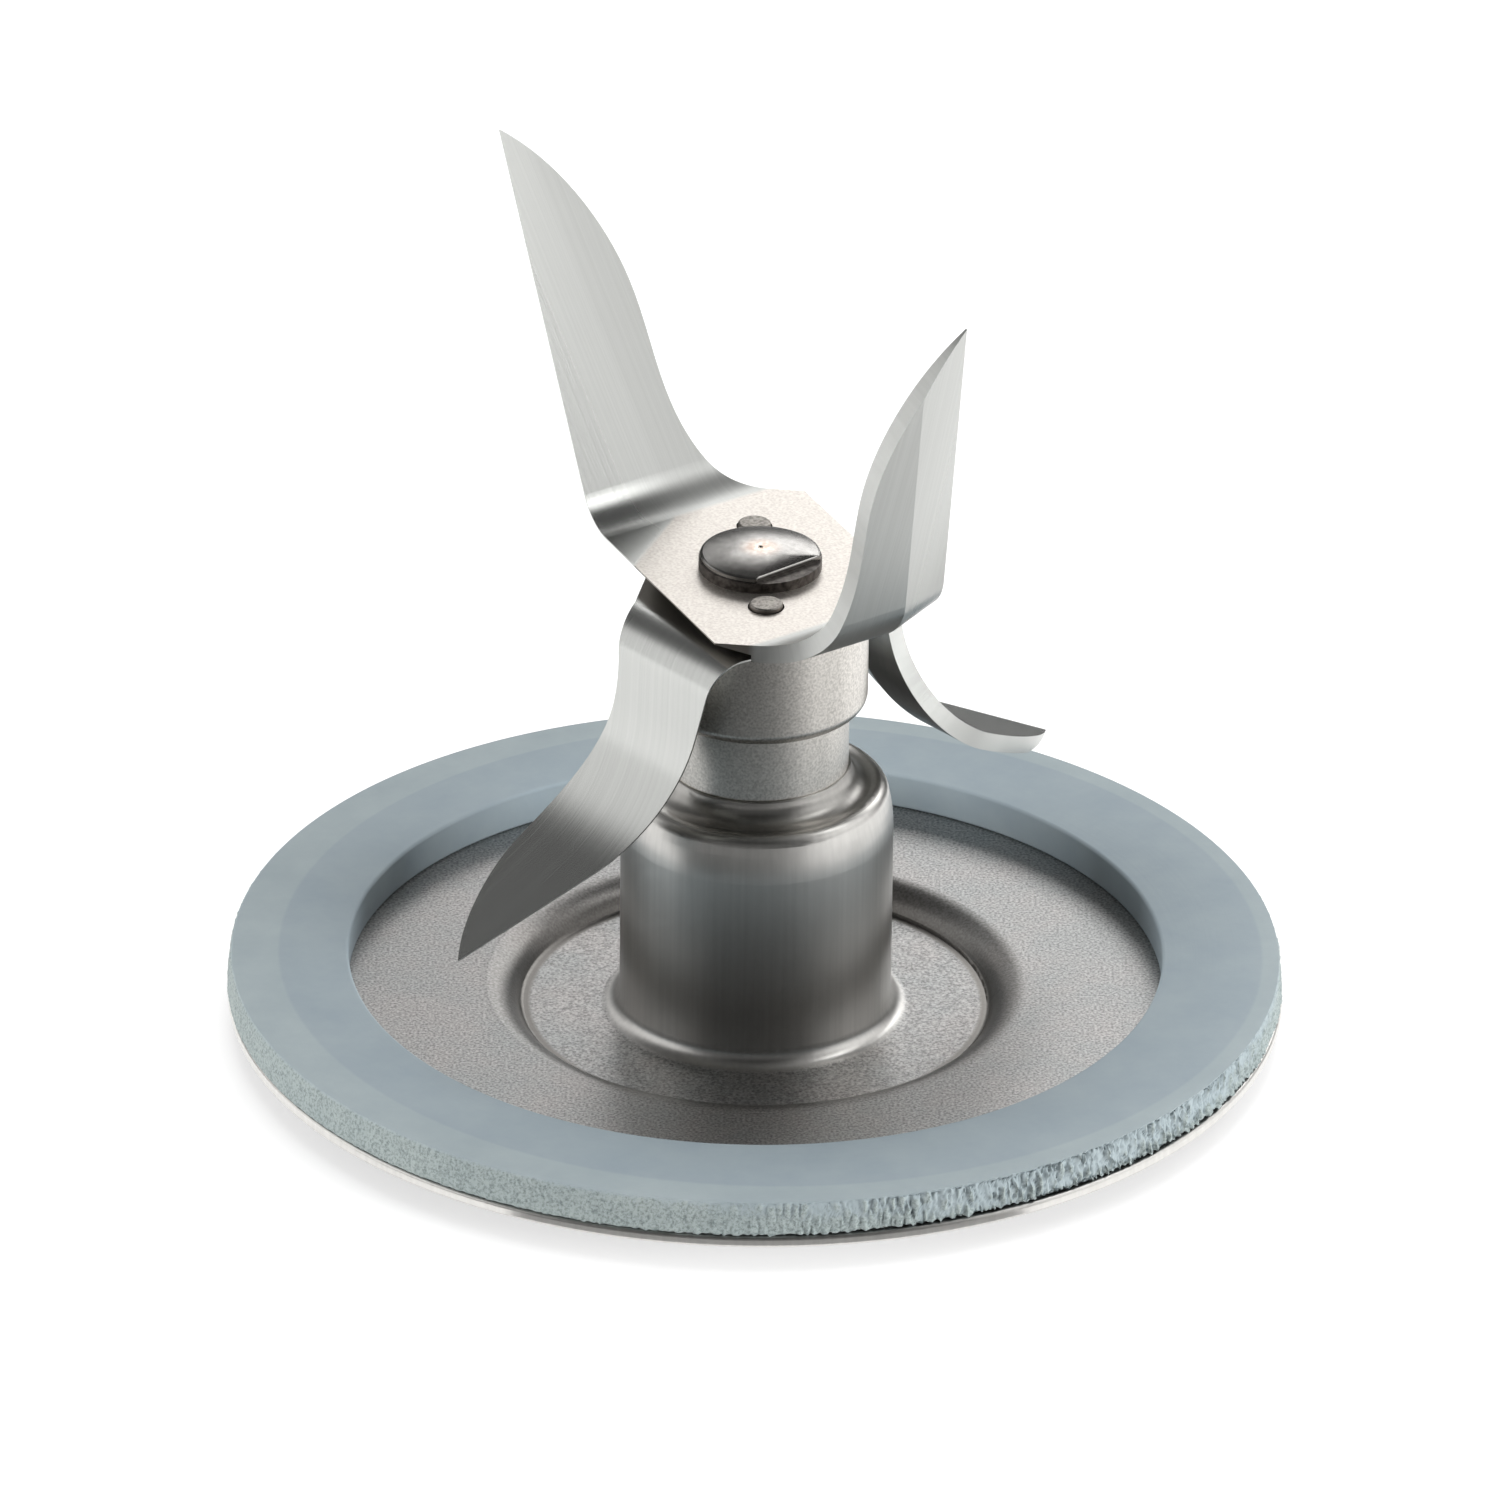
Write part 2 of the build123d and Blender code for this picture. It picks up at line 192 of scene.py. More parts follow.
# The gasket: a flat ring cut from a moulded rubber sleeve, laid loose on the disc's flange.
# The jar's rim has pressed its outer part a little flatter, off centre, and the skin of the outer wall
# has split into upright ridges, most of all at the front right.
gasket_low, gasket_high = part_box("gasket")
gasket_foot = gasket_high[0]
gasket_outer = gasket_foot - 0.2 * mm
gasket_inner = 27.05 * mm
gasket_bottom = gasket_low[2]
gasket_top = gasket_high[2]
gasket_edge = 0.25 * mm
gasket_segments = 2500
wall_rows = 13
imprint_radius = 32.7 * mm
imprint_width = 0.5 * mm
imprint_depth = 0.06 * mm
imprint_shift = 1.0 * mm


def rounded(corner, start, steps):
    """Points of a quarter round of the gasket's edge about a centre, from an angle in degrees."""
    angles = [math.radians(start + 90 * step / steps) for step in range(steps + 1)]
    return [(corner[0] + gasket_edge * math.cos(a), corner[1] + gasket_edge * math.sin(a)) for a in angles]


foot_edge = rounded((gasket_foot - gasket_edge, gasket_bottom + gasket_edge), -90, 3)
top_edge = rounded((gasket_outer - gasket_edge, gasket_top - imprint_depth - gasket_edge), 0, 4)
inner_top_edge = rounded((gasket_inner + gasket_edge, gasket_top - gasket_edge), 90, 4)
inner_foot_edge = rounded((gasket_inner + gasket_edge, gasket_bottom + gasket_edge), 180, 3)
wall = [
    [low + (high - low) * row / wall_rows for low, high in zip(foot_edge[-1], top_edge[0])]
    for row in range(1, wall_rows)
]
imprint = [
    (imprint_radius + imprint_width / 2, gasket_top - imprint_depth),
    (imprint_radius - imprint_width / 2, gasket_top),
]
gasket_profile = foot_edge + wall + top_edge + imprint + inner_top_edge + inner_foot_edge + foot_edge[:1]

bpy.ops.mesh.primitive_circle_add(
    vertices=gasket_segments, radius=gasket_profile[0][0], location=(0, 0, gasket_profile[0][1]),
)
gasket = bpy.context.object
gasket.name = "rubber_gasket"
bpy.ops.object.transform_apply(location=True, rotation=True, scale=True)
bpy.ops.object.mode_set(mode="EDIT")
bpy.ops.mesh.select_mode(type="EDGE")
bpy.ops.mesh.select_all(action="SELECT")
for (radius, height), (next_radius, next_height) in zip(gasket_profile, gasket_profile[1:]):
    grow = next_radius / radius
    bpy.ops.mesh.extrude_edges_move(TRANSFORM_OT_translate={"value": (0, 0, next_height - height)})
    bpy.ops.transform.resize(value=(grow, grow, 1), center_override=(0, 0, next_height))
bpy.ops.mesh.select_all(action="SELECT")
bpy.ops.mesh.remove_doubles(threshold=0.001 * mm)
bpy.ops.mesh.normals_make_consistent(inside=False)

# The two rings of the imprint's edge are pushed aside together, as the jar stood.
bpy.ops.mesh.select_mode(type="VERT")
bpy.ops.mesh.select_all(action="DESELECT")
bpy.ops.object.mode_set(mode="OBJECT")
for vertex in gasket.data.vertices:
    in_ring = abs(math.hypot(vertex.co.x, vertex.co.y) - imprint_radius) < imprint_width
    vertex.select = in_ring and vertex.co.z > gasket_top - 2 * imprint_depth
bpy.ops.object.mode_set(mode="EDIT")
bpy.ops.transform.translate(value=(imprint_shift, 0, 0))
bpy.ops.object.mode_set(mode="OBJECT")

# The wall's split skin: long upright cells parted by grooves, and a finer grain over the whole wall.
split_cell = (0.55 * mm, 0.55 * mm, 1.6 * mm)
split_depth = 0.3 * mm
split_middle = math.radians(-48)
split_spread = math.radians(42)
split_elsewhere = 0.16
grain_cell = (0.3 * mm, 0.3 * mm, 0.42 * mm)
grain_depth = 0.14 * mm
groove_share = 0.3
wall_skin = gasket.vertex_groups.new(name="wall_skin")
split_skin = gasket.vertex_groups.new(name="split_skin")
for vertex in gasket.data.vertices:
    if math.hypot(vertex.co.x, vertex.co.y) < gasket_outer - 0.6 * gasket_edge:
        continue
    away = abs(math.atan2(vertex.co.y, vertex.co.x) - split_middle)
    near = math.exp(-(min(away, 2 * math.pi - away) / split_spread) ** 2)
    wall_skin.add([vertex.index], 1.0, "REPLACE")
    split_skin.add([vertex.index], split_elsewhere + (1 - split_elsewhere) * near, "REPLACE")
for name, cell, depth, group in (
    ("split", split_cell, split_depth, split_skin),
    ("grain", grain_cell, grain_depth, wall_skin),
):
    bpy.ops.object.empty_add(location=(0, 0, 0))
    cell_size = bpy.context.object
    cell_size.scale = cell
    pattern = bpy.data.textures.new(name, "VORONOI")
    pattern.noise_scale = 1.0
    pattern.weight_1 = -1.0
    pattern.weight_2 = 1.0
    pattern.use_color_ramp = True
    pattern.color_ramp.elements[0].color = (0, 0, 0, 1)
    pattern.color_ramp.elements[1].color = (1, 1, 1, 1)
    pattern.color_ramp.elements[1].position = groove_share
    bpy.context.view_layer.update()
    bpy.context.view_layer.objects.active = gasket
    skin = gasket.modifiers.new(name, "DISPLACE")
    skin.texture = pattern
    skin.texture_coords = "OBJECT"
    skin.texture_coords_object = cell_size
    skin.vertex_group = group.name
    skin.strength = depth
    skin.mid_level = 1.0
    bpy.ops.object.modifier_apply(modifier=skin.name)
    bpy.data.objects.remove(cell_size)
bpy.ops.object.select_all(action="DESELECT")
gasket.select_set(True)
bpy.ops.object.shade_smooth_by_angle(angle=math.radians(50))

# Nitrile rubber, moulded and dusted with talc: matt blue-grey, a little greener and paler where the jar pressed
# it, with the fine rings that the ground rim left. The wall is pitted, and its grooves are painted darker as
# painted shade.
talc_patch = 4.0
ring_mark = 0.3
ring_mark_depth = 0.02 * mm
wall_pit = 0.2
rubber_pore = 0.2
rubber_pore_depth = 0.02 * mm
nitrile_rubber, tree, shader, place = new_material("nitrile_rubber")
from_jar = add_node(
    tree, "ShaderNodeMapping", {"vector_type": "TEXTURE"},
    {"Location": (imprint_shift, 0, 0), "Scale": (mm, mm, flattened)}, {"Vector": place},
)
jar_radius = add_node(
    tree, "ShaderNodeVectorMath", {"operation": "LENGTH"}, links={0: from_jar.outputs["Vector"]},
)
pressed = add_node(
    tree, "ShaderNodeMapRange", {"interpolation_type": "SMOOTHSTEP"},
    {"From Min": imprint_radius / mm - 0.15, "From Max": imprint_radius / mm + 0.15},
    {"Value": jar_radius.outputs["Value"]},
)
millimetres = add_node(
    tree, "ShaderNodeMapping", {"vector_type": "TEXTURE"}, {"Scale": (mm, mm, mm)}, {"Vector": place},
)
talc = add_node(
    tree, "ShaderNodeTexNoise", values={"Scale": 1 / talc_patch, "Detail": 4.0, "Roughness": 0.65},
    links={"Vector": millimetres.outputs["Vector"]},
)
inner_colour = add_node(tree, "ShaderNodeValToRGB", links={"Fac": talc.outputs["Fac"]})
set_stops(inner_colour, [(0.3, "838f96"), (0.7, "8b969b")])
pressed_colour = add_node(tree, "ShaderNodeValToRGB", links={"Fac": talc.outputs["Fac"]})
set_stops(pressed_colour, [(0.3, "8b969a"), (0.7, "939da0")])
rubber_colour = add_node(
    tree, "ShaderNodeMix", {"data_type": "RGBA"},
    links={
        "Factor": pressed.outputs["Result"],
        6: inner_colour.outputs["Color"], 7: pressed_colour.outputs["Color"],
    },
)
flat_place = add_node(tree, "ShaderNodeVectorMath", {"operation": "MULTIPLY"}, {1: (1, 1, 0)}, {0: place})
axis_distance = add_node(
    tree, "ShaderNodeVectorMath", {"operation": "LENGTH"}, links={0: flat_place.outputs["Vector"]},
)
# Painted shade: the wall is darker where the mesh is hollow, in the grooves of its split skin.
painted_groove_shade = add_node(
    tree, "ShaderNodeValToRGB", links={"Fac": add_node(tree, "ShaderNodeNewGeometry").outputs["Pointiness"]},
)
set_stops(painted_groove_shade, [(0.41, "80888a"), (0.485, "ffffff")])
groove_shaded_colour = add_node(
    tree, "ShaderNodeMix", {"data_type": "RGBA", "blend_type": "MULTIPLY"}, {"Factor": 1.0},
    {6: rubber_colour.outputs[2], 7: painted_groove_shade.outputs["Color"]},
)
pits = add_node(
    tree, "ShaderNodeTexNoise", values={"Scale": 1 / wall_pit, "Detail": 2.0, "Roughness": 0.7},
    links={"Vector": millimetres.outputs["Vector"]},
)
pit_colour = add_node(tree, "ShaderNodeValToRGB", links={"Fac": pits.outputs["Fac"]})
set_stops(pit_colour, [(0.32, "bcbeba"), (0.56, "fffdf6")])
on_wall = add_node(
    tree, "ShaderNodeMapRange", {"interpolation_type": "SMOOTHSTEP"},
    {"From Min": gasket_outer - 0.2 * mm, "From Max": gasket_outer - 0.05 * mm},
    {"Value": axis_distance.outputs["Value"]},
)
skin_colour = add_node(
    tree, "ShaderNodeMix", {"data_type": "RGBA", "blend_type": "MULTIPLY"},
    links={"Factor": on_wall.outputs["Result"], 6: groove_shaded_colour.outputs[2], 7: pit_colour.outputs["Color"]},
)
rings = add_node(
    tree, "ShaderNodeTexNoise", {"noise_dimensions": "1D"}, {"Scale": 1 / ring_mark, "Detail": 2.0},
    {"W": jar_radius.outputs["Value"]},
)
ring_bump = add_node(
    tree, "ShaderNodeBump", values={"Strength": 0.25, "Distance": ring_mark_depth},
    links={"Height": rings.outputs["Fac"]},
)
rubber_pores = add_node(
    tree, "ShaderNodeTexNoise", values={"Scale": 1 / rubber_pore, "Detail": 2.0},
    links={"Vector": millimetres.outputs["Vector"]},
)
rubber_bump = add_node(
    tree, "ShaderNodeBump", values={"Strength": 0.2, "Distance": rubber_pore_depth},
    links={"Height": rubber_pores.outputs["Fac"], "Normal": ring_bump.outputs["Normal"]},
)
shader.inputs["Roughness"].default_value = 0.62
shader.inputs["IOR"].default_value = 1.5
shader.inputs["Specular IOR Level"].default_value = 0.35
tree.links.new(skin_colour.outputs[2], shader.inputs["Base Color"])
tree.links.new(rubber_bump.outputs["Normal"], shader.inputs["Normal"])
gasket.data.materials.append(nitrile_rubber)
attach(gasket, "base")
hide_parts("gasket")


# The bearing sleeve, its retaining ring and the collar: turned from stainless bar, then tumbled.
# The sleeve stands in the lip of the housing and the ring holds it there from below. The collar turns with the
# blades, over the sleeve's neck.
turned_grain = 0.16
turned_grain_depth = 0.02 * mm
# Turned stainless: tumbling has left no tool marks, only a pale warm grey with a fine grain, which is drawn
# a few times coarser than the real one so that it shows.
turned_stainless, tree, shader, place = new_material("turned_stainless")
grain = add_node(
    tree, "ShaderNodeTexNoise", values={"Scale": 1 / (turned_grain * mm), "Detail": 2.0},
    links={"Vector": place},
)
turned_colour = add_node(tree, "ShaderNodeValToRGB", links={"Fac": grain.outputs["Fac"]})
set_stops(turned_colour, [(0.3, "c0bcb6"), (0.7, "e8e4de")])
turned_bump = add_node(
    tree, "ShaderNodeBump", values={"Strength": 0.25, "Distance": turned_grain_depth},
    links={"Height": grain.outputs["Fac"]},
)
shader.inputs["Metallic"].default_value = 1.0
shader.inputs["Roughness"].default_value = 0.32
tree.links.new(turned_colour.outputs["Color"], shader.inputs["Base Color"])
tree.links.new(turned_bump.outputs["Normal"], shader.inputs["Normal"])
dress(turned_stainless, "bearing_sleeve", "bearing_retainer", "collar")


# The bushings: two plain bearing rings that the shaft runs in, pressed into the sleeve's two ends.
# They are pressed from bronze powder, sintered, and filled with oil.
bronze_pore = 0.25
bronze_pore_depth = 0.03 * mm
# Sintered bronze: golden brown and satin, with dark pores all over.
sintered_bronze, tree, shader, place = new_material("sintered_bronze")
bronze_pores = add_node(
    tree, "ShaderNodeTexNoise", values={"Scale": 1 / (bronze_pore * mm), "Detail": 3.0},
    links={"Vector": place},
)
bronze_colour = add_node(tree, "ShaderNodeValToRGB", links={"Fac": bronze_pores.outputs["Fac"]})
set_stops(bronze_colour, [(0.35, "6f4c28"), (0.6, "b98a55")])
bronze_bump = add_node(
    tree, "ShaderNodeBump", values={"Strength": 0.4, "Distance": bronze_pore_depth},
    links={"Height": bronze_pores.outputs["Fac"]},
)
shader.inputs["Metallic"].default_value = 1.0
shader.inputs["Roughness"].default_value = 0.4
tree.links.new(bronze_colour.outputs["Color"], shader.inputs["Base Color"])
tree.links.new(bronze_bump.outputs["Normal"], shader.inputs["Normal"])
dress(sintered_bronze, "lower_bushing", "upper_bushing")


# The oil felt: a ring cut from pressed wool, between the two bushings in the sleeve.
# It is soaked in oil, and feeds the bushings.
felt_fibre = 0.3
felt_fibre_depth = 0.08 * mm
# Oiled wool felt: a dull yellowish grey, with matted fibres that lie in all directions.
wool_felt, tree, shader, place = new_material("oiled_wool_felt")
fibres = add_node(
    tree, "ShaderNodeTexNoise", values={"Scale": 1 / (felt_fibre * mm), "Detail": 4.0, "Distortion": 1.5},
    links={"Vector": place},
)
felt_colour = add_node(tree, "ShaderNodeValToRGB", links={"Fac": fibres.outputs["Fac"]})
set_stops(felt_colour, [(0.0, "8f866c"), (1.0, "d2c8ac")])
felt_bump = add_node(
    tree, "ShaderNodeBump", values={"Strength": 0.6, "Distance": felt_fibre_depth},
    links={"Height": fibres.outputs["Fac"]},
)
shader.inputs["Roughness"].default_value = 0.85
tree.links.new(felt_colour.outputs["Color"], shader.inputs["Base Color"])
tree.links.new(felt_bump.outputs["Normal"], shader.inputs["Normal"])
dress(wool_felt, "oil_felt")


# The shaft seal: a lip that keeps food out of the bearing.
# It is moulded from black rubber, and sits in the top of the sleeve, round the shaft.
seal_bloom = 1.2
# Moulded black rubber: smooth and satin, with a faint grey bloom in patches.
seal_rubber, tree, shader, place = new_material("moulded_black_rubber")
bloom = add_node(
    tree, "ShaderNodeTexNoise", values={"Scale": 1 / (seal_bloom * mm), "Detail": 3.0},
    links={"Vector": place},
)
seal_colour = add_node(tree, "ShaderNodeValToRGB", links={"Fac": bloom.outputs["Fac"]})
set_stops(seal_colour, [(0.0, "161616"), (1.0, "343434")])
shader.inputs["Roughness"].default_value = 0.5
tree.links.new(seal_colour.outputs["Color"], shader.inputs["Base Color"])
dress(seal_rubber, "shaft_seal")


# The thrust washers: two flat rings that the rotor bears on, at the sleeve's two ends.
# They are stamped from nylon sheet and lie loose on the shaft.
nylon_cloud = 2.0
# Natural nylon: creamy white and waxy, a little cloudy.
natural_nylon, tree, shader, place = new_material("natural_nylon")
clouding = add_node(
    tree, "ShaderNodeTexNoise", values={"Scale": 1 / (nylon_cloud * mm), "Detail": 2.0},
    links={"Vector": place},
)
nylon_colour = add_node(tree, "ShaderNodeValToRGB", links={"Fac": clouding.outputs["Fac"]})
set_stops(nylon_colour, [(0.0, "d5d0bf"), (1.0, "e8e4d8")])
shader.inputs["Roughness"].default_value = 0.4
tree.links.new(nylon_colour.outputs["Color"], shader.inputs["Base Color"])
dress(natural_nylon, "lower_thrust_washer", "upper_thrust_washer")


# The drive coupling: a hub with the square socket that the motor's stud turns.
# It is pressed from steel powder and sintered, and is fixed on the shaft's lower end.
steel_pore = 0.3
steel_pore_depth = 0.04 * mm
# Sintered steel: dull dark grey, with pores all over.
sintered_steel, tree, shader, place = new_material("sintered_steel")
steel_pores = add_node(
    tree, "ShaderNodeTexNoise", values={"Scale": 1 / (steel_pore * mm), "Detail": 4.0},
    links={"Vector": place},
)
sintered_colour = add_node(tree, "ShaderNodeValToRGB", links={"Fac": steel_pores.outputs["Fac"]})
set_stops(sintered_colour, [(0.32, "5c5955"), (0.6, "9a9791")])
sintered_bump = add_node(
    tree, "ShaderNodeBump", values={"Strength": 0.5, "Distance": steel_pore_depth},
    links={"Height": steel_pores.outputs["Fac"]},
)
shader.inputs["Metallic"].default_value = 1.0
shader.inputs["Roughness"].default_value = 0.48
tree.links.new(sintered_colour.outputs["Color"], shader.inputs["Base Color"])
tree.links.new(sintered_bump.outputs["Normal"], shader.inputs["Normal"])
dress(sintered_steel, "drive_coupling")


# The shaft: a bar of hardened steel with a flat, which carries the collar and the blades.
# Its upper end is swaged into a domed head, which clamps them.
smear_size = 0.7
swage_mark_start = 0.2
swage_mark_end = 1.7
# Burnished steel: swaging has rubbed the head smooth, dark and glossy, with soft smears,
# and the tool has left a faint brownish mark on its crown.
burnished_steel, tree, shader, place = new_material("burnished_steel")
across_shaft = add_node(
    tree, "ShaderNodeMapping", {"vector_type": "TEXTURE"}, {"Scale": (mm, mm, flattened)}, {"Vector": place},
)
shaft_radius = add_node(
    tree, "ShaderNodeVectorMath", {"operation": "LENGTH"}, links={0: across_shaft.outputs["Vector"]},
)
smears = add_node(
    tree, "ShaderNodeTexNoise", values={"Scale": 1 / (smear_size * mm), "Detail": 4.0, "Roughness": 0.6},
    links={"Vector": place},
)
marked = add_node(
    tree, "ShaderNodeMapRange", {"interpolation_type": "SMOOTHSTEP"},
    {"From Min": swage_mark_start, "From Max": swage_mark_end, "To Min": 0.75, "To Max": 0.0},
    {"Value": shaft_radius.outputs["Value"]},
)
steel_colour = add_node(tree, "ShaderNodeValToRGB", links={"Fac": smears.outputs["Fac"]})
set_stops(steel_colour, [(0.3, "858380"), (0.7, "9a9895")])
swage_colour = add_node(tree, "ShaderNodeValToRGB", links={"Fac": smears.outputs["Fac"]})
set_stops(swage_colour, [(0.4, "a48a7a"), (0.6, "bcb2a8")])
head_colour = add_node(
    tree, "ShaderNodeMix", {"data_type": "RGBA"},
    links={
        "Factor": marked.outputs["Result"],
        6: steel_colour.outputs["Color"], 7: swage_colour.outputs["Color"],
    },
)
shader.inputs["Metallic"].default_value = 1.0
shader.inputs["Roughness"].default_value = 0.22
tree.links.new(head_colour.outputs[2], shader.inputs["Base Color"])
dress(burnished_steel, "shaft")


# The washer under the head: a ring stamped from steel sheet.
# It lies on the upper blade, and the swaged head holds it down.
scale_spot = 0.4
# Oxidised steel: dark grey and dull from heat, painted darker still as painted shadow under the head, and
# spotted by what has dried round it.
oxide_and_shadow_steel, tree, shader, place = new_material("oxide_and_shadow_steel")
scale_spots = add_node(
    tree, "ShaderNodeTexNoise", values={"Scale": 1 / (scale_spot * mm), "Detail": 3.0},
    links={"Vector": place},
)
oxide_and_shadow_colour = add_node(tree, "ShaderNodeValToRGB", links={"Fac": scale_spots.outputs["Fac"]})
set_stops(oxide_and_shadow_colour, [(0.35, "45413e"), (0.65, "6f6a66")])
shader.inputs["Metallic"].default_value = 1.0
shader.inputs["Roughness"].default_value = 0.45
tree.links.new(oxide_and_shadow_colour.outputs["Color"], shader.inputs["Base Color"])
dress(oxide_and_shadow_steel, "head_washer")


# The blades: cut from stainless strip, ground to an edge on the underside and bent.
# Both are clamped on the collar by the shaft's head, with the lower blade's two bosses pushed up into holes
# in the upper one.
blade_directions = {"lower_blade": 221.8, "upper_blade": 125.75}
lower_plate_top = 31.95
bend_end = 9.5
underside_shade_length = 8
pale_end = 9.1
pale_slant = 0.7
pale_slant_from = 0.4
brush_mark_width = 0.14
brush_mark_length = 45.0
brush_mark_depth = 0.005 * mm
plate_speckle = 0.2
for blade_name, blade_direction in blade_directions.items():
    # Brushed stainless: lines along each wing, drawn a few times wider than the real ones so that they show.
    # The middle of the upper blade and the bosses are speckled from tumbling, pale on the plate and darker on
    # the worn tops of the bosses. The undersides are painted darker near the bends, and the faces that don't
    # look up, the plate's cut edges included, are painted grey: both are painted shade.
    brushed_stainless, tree, shader, place = new_material("brushed_stainless_" + blade_name)
    on_blade = add_node(
        tree, "ShaderNodeMapping", {"vector_type": "TEXTURE"},
        {"Rotation": (0, 0, math.radians(blade_direction)), "Scale": (mm, mm, mm)}, {"Vector": place},
    )
    axes = add_node(tree, "ShaderNodeSeparateXYZ", links={"Vector": on_blade.outputs["Vector"]})
    outwards = add_node(tree, "ShaderNodeMath", {"operation": "ABSOLUTE"}, links={0: axes.outputs["X"]})
    normal = add_node(tree, "ShaderNodeNewGeometry").outputs["Normal"]
    facing = add_node(tree, "ShaderNodeSeparateXYZ", links={"Vector": normal})
    if blade_name == "upper_blade":
        # The pale zone ends at the bends, and sooner on the side of each wing's ground edge,
        # where the wing is smoother too.
        wing_side = add_node(tree, "ShaderNodeMath", {"operation": "SIGN"}, links={0: axes.outputs["X"]})
        to_edge = add_node(
            tree, "ShaderNodeMath", {"operation": "MULTIPLY"},
            links={0: axes.outputs["Y"], 1: wing_side.outputs["Value"]},
        )
        slanted = add_node(
            tree, "ShaderNodeMapRange", {"clamp": False},
            {"From Min": pale_slant_from, "From Max": pale_slant_from + 10, "To Max": 10 * pale_slant},
            {"Value": to_edge.outputs["Value"]},
        )
        only_edge_side = add_node(
            tree, "ShaderNodeMath", {"operation": "MAXIMUM"}, {1: 0.0}, {0: slanted.outputs["Result"]},
        )
        pale_place = add_node(
            tree, "ShaderNodeMath", {"operation": "ADD"},
            links={0: outwards.outputs["Value"], 1: only_edge_side.outputs["Value"]},
        )
        wing = add_node(
            tree, "ShaderNodeMapRange", {"interpolation_type": "SMOOTHSTEP"},
            {"From Min": pale_end - 0.2, "From Max": pale_end + 0.3}, {"Value": pale_place.outputs["Value"]},
        )
        tumbled_stops = [(0.3, "dbd4cd"), (0.65, "f2ede6")]
        wing_roughness = add_node(
            tree, "ShaderNodeMapRange", {"interpolation_type": "SMOOTHSTEP"},
            {"From Min": -3.0, "From Max": 4.0, "To Min": 0.4, "To Max": 0.25},
            {"Value": to_edge.outputs["Value"]},
        )
    else:
        wing = add_node(
            tree, "ShaderNodeMapRange",
            values={"From Min": lower_plate_top + 0.1, "From Max": lower_plate_top},
            links={"Value": axes.outputs["Z"]},
        )
        tumbled_stops = [(0.35, "7f7b76"), (0.65, "b1aca5")]
    along_wing = add_node(
        tree, "ShaderNodeMapping", {"vector_type": "TEXTURE"},
        {"Scale": (brush_mark_length, brush_mark_width, brush_mark_length)},
        {"Vector": on_blade.outputs["Vector"]},
    )
    brush_marks = add_node(
        tree, "ShaderNodeTexNoise", values={"Scale": 1.0, "Detail": 4.0, "Roughness": 0.6},
        links={"Vector": along_wing.outputs["Vector"]},
    )
    wing_colour = add_node(tree, "ShaderNodeValToRGB", links={"Fac": brush_marks.outputs["Fac"]})
    set_stops(wing_colour, [(0.3, "c0c1be"), (0.7, "c8c9c6")])
    # Painted shade: the undersides are darker near the bends.
    underside = add_node(
        tree, "ShaderNodeMapRange", values={"From Min": -0.05, "From Max": -0.25},
        links={"Value": facing.outputs["Z"]},
    )
    painted_underside_shade = add_node(
        tree, "ShaderNodeMapRange", {"interpolation_type": "SMOOTHSTEP"},
        {"From Min": bend_end, "From Max": bend_end + underside_shade_length, "To Max": 0.0},
        {"Value": outwards.outputs["Value"], "To Min": underside.outputs["Result"]},
    )
    brushed_colour = add_node(
        tree, "ShaderNodeMix", {"data_type": "RGBA", "blend_type": "MULTIPLY"}, {7: linear("a4a4a2")},
        {"Factor": painted_underside_shade.outputs["Result"], 6: wing_colour.outputs["Color"]},
    )
    blade_speckle = add_node(
        tree, "ShaderNodeTexNoise", values={"Scale": 1 / plate_speckle, "Detail": 2.0},
        links={"Vector": on_blade.outputs["Vector"]},
    )
    plate_colour = add_node(tree, "ShaderNodeValToRGB", links={"Fac": blade_speckle.outputs["Fac"]})
    set_stops(plate_colour, tumbled_stops)
    # Painted shade: faces that don't look up, the plate's cut edges and undersides, are painted grey.
    painted_edge_shade = add_node(
        tree, "ShaderNodeMapRange", values={"From Min": 0.7, "From Max": 0.3},
        links={"Value": facing.outputs["Z"]},
    )
    middle_colour = add_node(
        tree, "ShaderNodeMix", {"data_type": "RGBA"}, {7: linear("8c8680")},
        {"Factor": painted_edge_shade.outputs["Result"], 6: plate_colour.outputs["Color"]},
    )
    blade_colour = add_node(
        tree, "ShaderNodeMix", {"data_type": "RGBA"},
        links={"Factor": wing.outputs["Result"], 6: middle_colour.outputs[2], 7: brushed_colour.outputs[2]},
    )
    blade_roughness = add_node(
        tree, "ShaderNodeMapRange", values={"To Min": 0.46, "To Max": 0.27},
        links={"Value": wing.outputs["Result"]},
    )
    if blade_name == "upper_blade":
        tree.links.new(wing_roughness.outputs["Result"], blade_roughness.inputs["To Max"])
    brush_bump = add_node(
        tree, "ShaderNodeBump", values={"Distance": brush_mark_depth},
        links={"Height": brush_marks.outputs["Fac"], "Strength": wing.outputs["Result"]},
    )
    shader.inputs["Metallic"].default_value = 1.0
    tree.links.new(blade_colour.outputs[2], shader.inputs["Base Color"])
    tree.links.new(blade_roughness.outputs["Result"], shader.inputs["Roughness"])
    tree.links.new(brush_bump.outputs["Normal"], shader.inputs["Normal"])
    dress(brushed_stainless, blade_name)


# The studio: a white paper floor that runs on past the picture, in a white room with soft boxes to the right
# and behind. The camera's side, the ceiling and the foot of the back are dark, and grey cards on the floor
# shade what the steel mirrors.
floor_size = 8.0
floor_white = "cccccc"
floor_glow = 0.49


